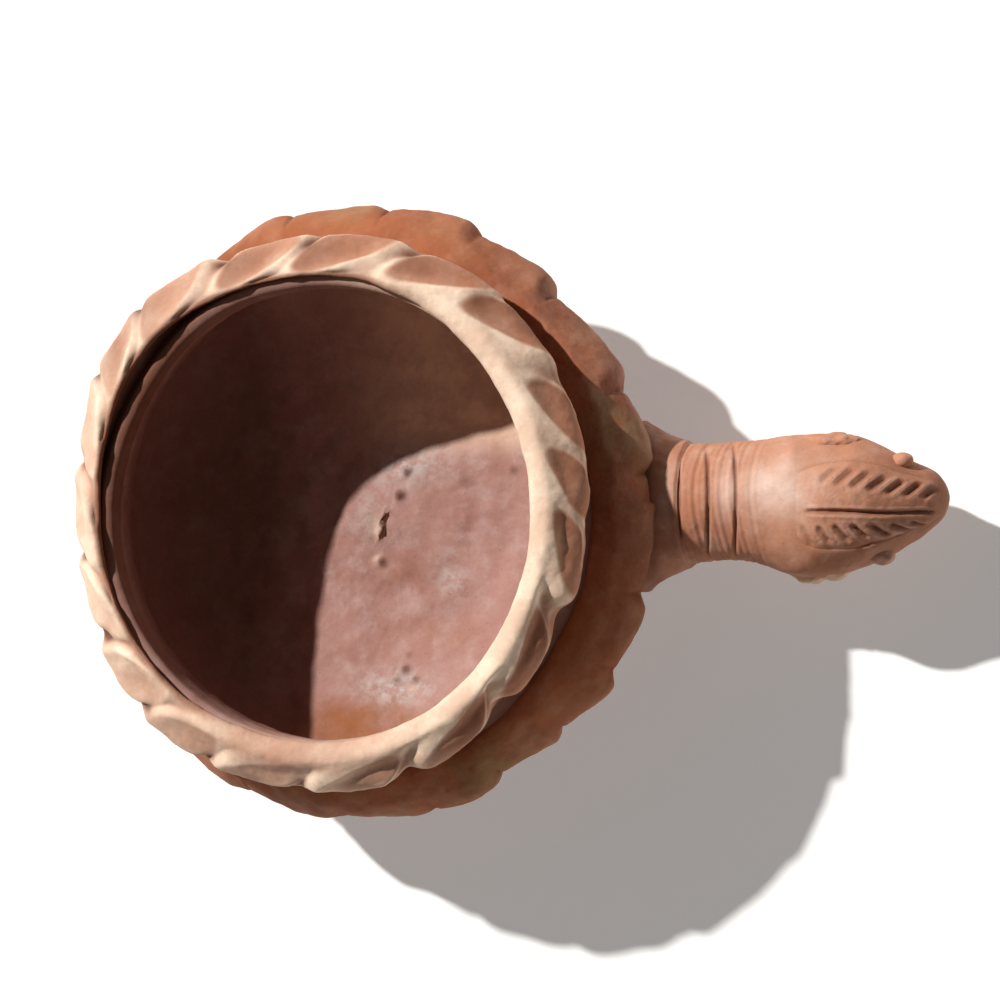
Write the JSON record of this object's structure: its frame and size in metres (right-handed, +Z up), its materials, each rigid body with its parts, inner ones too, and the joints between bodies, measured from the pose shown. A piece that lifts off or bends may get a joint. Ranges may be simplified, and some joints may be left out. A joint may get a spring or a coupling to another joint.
{
  "type": "oil lamp",
  "caption": "Empty terracotta bowl oil lamp with thumb-pressed rim coil and belly band, and a scored handle whose knob carries a cut leaf.",
  "frame": {"origin": "centre of the foot's flat underside, where the lamp rests on the table", "axes": "+Z up through the bowl's middle, +X towards the tip of the handle"},
  "size_m": [0.1825, 0.1268, 0.0635],
  "materials": {
    "bowl_clay": "unglazed fired clay, greyish pink inside with pits and pale efflorescence",
    "foot_clay": "unglazed fired clay, string-cut underside",
    "rim_clay": "unglazed fired clay, pale salmon with a cream bloom",
    "band_clay": "unglazed fired clay, orange brown",
    "handle_clay": "unglazed fired clay, smoothed by handling",
    "collar_clay": "unglazed fired clay, rough and dark",
    "leaf_clay": "unglazed fired clay, browner, with cut veins",
    "pale_clay": "unglazed cream-coloured clay"
  },
  "bodies": {
    "root": {"bowl": "bowl_clay", "foot": "foot_clay", "rim_coil": "rim_clay", "belly_band": "band_clay", "handle": "handle_clay", "handle_collar": "collar_clay", "knob_leaf": "leaf_clay", "side_pellet_left": "handle_clay", "side_pellet_right": "pale_clay", "tip_pellet_left": "handle_clay", "tip_pellet_right": "handle_clay", "cheek_pellet": "pale_clay"}
  },
  "joints": []
}
